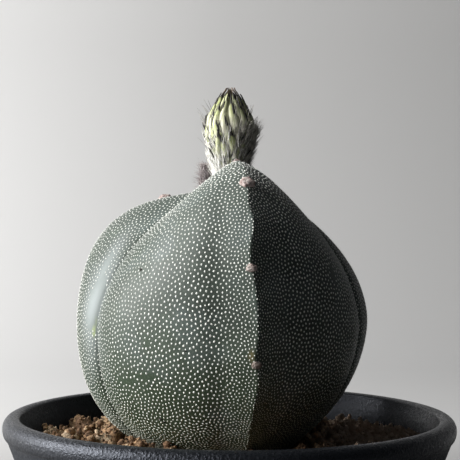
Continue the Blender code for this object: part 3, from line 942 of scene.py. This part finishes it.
def wrapped_scales(name, bud, material):
    """A tree that lays a scale on each point of a flat spiral, and wraps the sheet round a bud's core."""
    tree, given = new_tree(name, {"Scale": "Object", "Scale width": 0.002, "Seed": 1})
    wide = times(drawn(tree, 0.85, 1.15, given["Seed"]), given["Scale width"])
    size = wire(tree, "ShaderNodeCombineXYZ", {0: wide, 1: carried(tree, "long"), 2: carried(tree, "flare")})
    points = kept(given[0], "tone", drawn(tree, 0.0, 1.0, 5))
    turned = spun(drawn(tree, -0.22, 0.22, given["Seed"]))
    blade = wire(tree, "GeometryNodeObjectInfo", {"Object": given["Scale"]}, "Geometry")
    flat = wire(tree, "GeometryNodeRealizeInstances", {0: laid_on(points, blade, turned, size)})
    across, along, proud = part_of(wire(tree, "GeometryNodeInputPosition"), 0).node.outputs
    share = reckon("DIVIDE", along, bud.length, use_clamp=True)
    outline = wire(tree, "ShaderNodeFloatCurve", {"Value": share})
    mapping = outline.node.mapping
    curve = mapping.curves[0]
    for part, radius in bud.profile[1:-1]:
        curve.points.new(part, radius / bud.width)
    curve.points[0].location = (0.0, bud.profile[0][1] / bud.width)
    curve.points[-1].location = (1.0, 0.0)
    mapping.update()
    radius = reckon("ADD", times(outline, bud.width), proud)
    around = reckon("DIVIDE", across, bud.width)
    right = times(reckon("SINE", around), radius)
    front = times(reckon("COSINE", around), radius)
    upright = wire(tree, "ShaderNodeCombineXYZ", {0: right, 1: times(front, -1.0), 2: along})
    placed = wire(tree, "ShaderNodeVectorMath", {0: upright, 1: tuple(bud.base)}, operation="ADD")
    end_tree(wire(tree, "GeometryNodeSetPosition", {0: flat, "Position": placed}), material)
    return tree


def spiral_places(name, bud, count, start, end, shortest, longest):
    """Points of a flat golden spiral: across is the way round, along the way up, long is each scale's length."""
    draw = random.Random(4)
    points, longs, flares = [], [], []
    for number in range(count):
        share = number / (count - 1)
        along = (start + (end - start) * share) * bud.length
        long = shortest + (longest - shortest) * sin(pi * share) ** 0.7
        longs.append(min(long * draw.uniform(0.88, 1.14), 1.01 * bud.length - along))
        flares.append(longs[-1] * (2.1 - 1.1 * share) * draw.uniform(0.6, 1.4))
        points.append((number * golden_angle % tau * bud.width, along, 0.0))
    mesh = plain_mesh(name, points)
    store(mesh, "long", longs)
    store(mesh, "flare", flares)
    return mesh


scale_skin, shader, place = new_material("scale_skin", 0.55)
along, height = stored(shader, "along"), part_of(place, 2)
veins = speckle(place, 1500, 3.0)
green = ramp(stored(shader, "tone"),
             [(0.0, (0.59, 0.61, 0.43)), (0.5, (0.49, 0.53, 0.28)), (1.0, (0.40, 0.46, 0.17))])
colour = mixed(ramp(along, [(0.10, 0.0), (0.50, 1.0)]), (0.78, 0.76, 0.62), green)
margin = ramp(reckon("ABSOLUTE", stored(shader, "across")), [(0.45, 0.0), (0.80, 0.85)])
colour = mixed(margin, colour, (0.79, 0.79, 0.68))
top = bud.base.z + bud.length
colour = mixed(graded(height, top - 0.0120, top - 0.0030, high=0.50), colour, (0.40, 0.44, 0.15))
dark = ramp(reckon("MULTIPLY_ADD", veins, 0.12, along), [(0.66, 0.0), (0.74, 1.0)])
point = mixed(graded(height, top - 0.0018, top - 0.0006), (0.014, 0.011, 0.010), (0.12, 0.070, 0.032))
feed(shader, mixed(dark, colour, point))
bumped(shader, veins, 0.25, 0.0001)

blade = scale_blade("scale_pattern", thickness=0.055, lift=0.09, across_steps=4, along_steps=12)
tree = wrapped_scales("bud_scale_spiral", bud, scale_skin)
spiral = spiral_places("bud_scale_places", bud, count=104, start=0.02, end=0.86, shortest=0.0060, longest=0.0098)
scales = grow("bud_scales", spiral, tree, {"Scale": blade, "Scale width": 0.0024, "Seed": 3})
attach(scales, "root")
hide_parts("flower_bud")

tree, given = new_tree("hairs", {"Material": "Material", "Thickness": 0.0001, "Bend": 0.3, "Seed": 1})
line = wire(tree, "GeometryNodeCurvePrimitiveLine", {"Start": (0, 0, 0), "End": (0, 0, 1)})
line = wire(tree, "GeometryNodeResampleCurve", {0: line, "Count": 5})
height = part_of(wire(tree, "GeometryNodeInputPosition"), 2)
curl = times(reckon("POWER", height, 2.0), given["Bend"])
curled = wire(tree, "ShaderNodeCombineXYZ", {0: curl})
line = wire(tree, "GeometryNodeSetPosition", {0: line, "Offset": curled})
taper = reckon("MULTIPLY_ADD", wire(tree, "GeometryNodeSplineParameter", output="Factor"), -0.85, 1.0)
ring = wire(tree, "GeometryNodeCurvePrimitiveCircle", {"Resolution": 3, "Radius": 1.0})
hair = wire(tree, "GeometryNodeCurveToMesh",
            {"Curve": line, "Profile Curve": ring, "Scale": taper, "Fill Caps": True})
rotation = spun(drawn(tree, 0.0, 6.28, given["Seed"]), aimed(tree, "aim"))
thick = given["Thickness"]
size = wire(tree, "ShaderNodeCombineXYZ", {0: thick, 1: thick, 2: carried(tree, "long")})
end_tree(laid_on(given[0], hair, rotation, size), given["Material"])
hair_tree = tree


def rooted(bud, share, around, proud=0.0):
    """A hair's root on a bud's outline, and the way out from the bud's axis there."""
    outwards = Vector((sin(around), -cos(around), 0))
    radius = float(bud_radius(bud, share)) + proud
    return bud.base + outwards * radius + Vector((0, 0, share * bud.length)), outwards


def hair_strands(name, hairs, material, thickness, bend):
    """Tapering curved hairs, each with its root, its aim and its length."""
    roots, aims, lengths = zip(*hairs)
    points = plain_mesh(name, [tuple(root) for root in roots])
    store(points, "aim", [tuple(aim.normalized()) for aim in aims])
    store(points, "long", lengths)
    return grow(name, points, hair_tree, {"Material": material, "Thickness": thickness, "Bend": bend, "Seed": 1})


bristle_stops = [(0.35, (0.14, 0.135, 0.12)), (0.65, (0.66, 0.63, 0.58))]
dark_bristle = speckled_material("dark_bristle", 0.6, 600, bristle_stops)
white_wool = speckled_material("white_wool", 0.9, 800, [(0.3, (0.93, 0.915, 0.88)), (0.7, (0.98, 0.975, 0.95))])
draw = random.Random(8)
hairs = []
for number in range(bristle_count):
    all_round = number < bristles_all_round
    share = draw.uniform(0.12, 0.80) if all_round else draw.uniform(0.14, 0.62)
    around = draw.uniform(0, tau) if all_round else draw.gauss(radians(78), 0.55)
    root, outwards = rooted(bud, share, around, draw.uniform(0.0003, 0.0012))
    aim = outwards * draw.uniform(0.25, 1.05) + Vector((0, 0, 1))
    hairs.append((root, aim, draw.uniform(0.0024, 0.0050)))
bristles = hair_strands("bud_bristles", hairs, dark_bristle, thickness=0.00011, bend=0.15)
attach(bristles, "root")

hairs = []
for number in range(wool_count):
    on_tube = number < wool_on_tube
    share = draw.uniform(0.16, 0.36) if on_tube else draw.uniform(0.30, 0.56)
    around = draw.gauss(radians(-80), 0.6) if on_tube else draw.uniform(-2.2, 1.2)
    root, outwards = rooted(bud, share, around, draw.uniform(0.0002, 0.0014))
    aim = outwards * draw.uniform(0.1, 0.55) + Vector((draw.uniform(-0.4, 0.4), draw.uniform(-0.4, 0.4), 1))
    hairs.append((root, aim, draw.uniform(0.0018, 0.0040)))
wool = hair_strands("bud_wool", hairs, white_wool, thickness=0.00015, bend=0.5)
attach(wool, "root")


# Young bud: a small bud just behind the flower bud, its short scales hidden in mauve-brown wool.
# It is built like the flower bud, from a turned core, a spiral of the same scales and a coat of hairs.
young = Bud(Vector((-0.0072, 0.0125, pot_height + 0.0565)), 0.0112, 0.0012, (
    (0.0, 0.0009), (0.4, 0.0012), (0.75, 0.0011), (0.92, 0.0006), (1.0, 0.0)))
fuzz_count = 800
skin_stops = [(0.35, (0.11, 0.094, 0.100)), (0.65, (0.33, 0.30, 0.31))]
young_skin = speckled_material("young_bud_skin", 0.85, 900, skin_stops, detail=3.0)
mauve_wool = speckled_material("mauve_wool", 0.95, 700, [(0.35, (0.26, 0.22, 0.23)), (0.65, (0.66, 0.60, 0.60))])
young_core = turned_core("young_bud_core", young, young_skin, sides=24, steps=20)
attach(young_core, "root")
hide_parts("young_bud")
tree = wrapped_scales("young_scale_spiral", young, young_skin)
spiral = spiral_places(
    "young_scale_places", young, count=30, start=0.25, end=0.85, shortest=0.0018, longest=0.0028)
young_scales = grow("young_bud_scales", spiral, tree, {"Scale": blade, "Scale width": 0.0011, "Seed": 6})
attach(young_scales, "root")
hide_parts("young_bud")
hairs = []
for _ in range(fuzz_count):
    share = draw.uniform(0.2, 0.96)
    root, outwards = rooted(young, share, draw.uniform(0, tau))
    aim = outwards + Vector((draw.uniform(-0.4, 0.4), draw.uniform(-0.4, 0.4), draw.uniform(0.0, 1.3)))
    hairs.append((root, aim, draw.uniform(0.0007, 0.0016) * (1 if draw.random() < 0.75 else 1.8)))
fuzz = hair_strands("young_bud_fuzz", hairs, mauve_wool, thickness=0.00006, bend=0.4)
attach(fuzz, "root")
bpy.data.objects.remove(blade)


# Studio: a pale floor that sweeps up behind the pot, one large soft window at the left and hardly any fill.
# The wall behind glows faintly, brighter to the left and low down, its grey is painted darker to the right as the
# window's falloff would make it, and the table is darker to the right.
sweep_half_width, sweep_front, sweep_back, sweep_radius, sweep_top = 5.0, -5.0, 0.75, 0.45, 1.6
window_target = Vector((0, 0, 0.1))

backdrop_paint, shader, place = new_material("backdrop_paint", 1.0)
across = graded(part_of(place, 0), -0.6, 0.6)
glowing = graded(part_of(place, 1), 0.15, 0.45)
# painted shade: the wall's grey falls off from left to right as the window's light would
wall_grey = ramp(across, [(0.0, 0.56), (0.5, 0.40), (1.0, 0.30)])
table_grey = ramp(across, [(0.38, 0.36), (0.62, 0.14)])
feed(shader, mixed(glowing, table_grey, wall_grey))
glow = ramp(across, [(0.0, 0.36), (0.28, 0.26), (0.50, 0.155), (0.72, 0.125), (1.0, 0.08)])
glow = scaled(glow, graded(part_of(place, 2), 0.0, 0.35, 1.35, 0.95))
feed(shader, mixed(glowing, (0.0, 0.0, 0.0), glow), "Emission Color")
shader.inputs["Emission Strength"].default_value = 1.0
sweep = bmesh.new()
sweep_line = [(sweep_front, 0.0), (sweep_back, 0.0)]
sweep_line += [(sweep_back + sweep_radius * sin(a), sweep_radius - sweep_radius * cos(a))
               for a in np.radians(np.linspace(5, 90, 18))] + [(sweep_back + sweep_radius, sweep_top)]
sides = [[sweep.verts.new((x, y, z)) for y, z in sweep_line] for x in (-sweep_half_width, sweep_half_width)]
for number in range(len(sweep_line) - 1):
    sweep.faces.new((sides[0][number], sides[1][number], sides[1][number + 1], sides[0][number + 1]))
backdrop = finished("backdrop", sweep, backdrop_paint, smooth=True)

light = bpy.data.lights.new("window", "AREA")
light.shape, light.size, light.size_y = "RECTANGLE", 1.05, 0.9
light.energy, light.color = 37, (1.0, 0.985, 0.96)
window = put_in_scene("window", light)
window.location = (-1.04, -0.12, 0.55)
window.rotation_euler = (window_target - window.location).to_track_quat("-Z", "Y").to_euler()
world = bpy.data.worlds.new("room")
world.use_nodes = True
fill = world.node_tree.nodes["Background"].inputs
fill["Color"].default_value = (0.72, 0.78, 0.86, 1.0)
fill["Strength"].default_value = 0.036
bpy.context.scene.world = world
bpy.context.scene.view_settings.view_transform = "Standard"
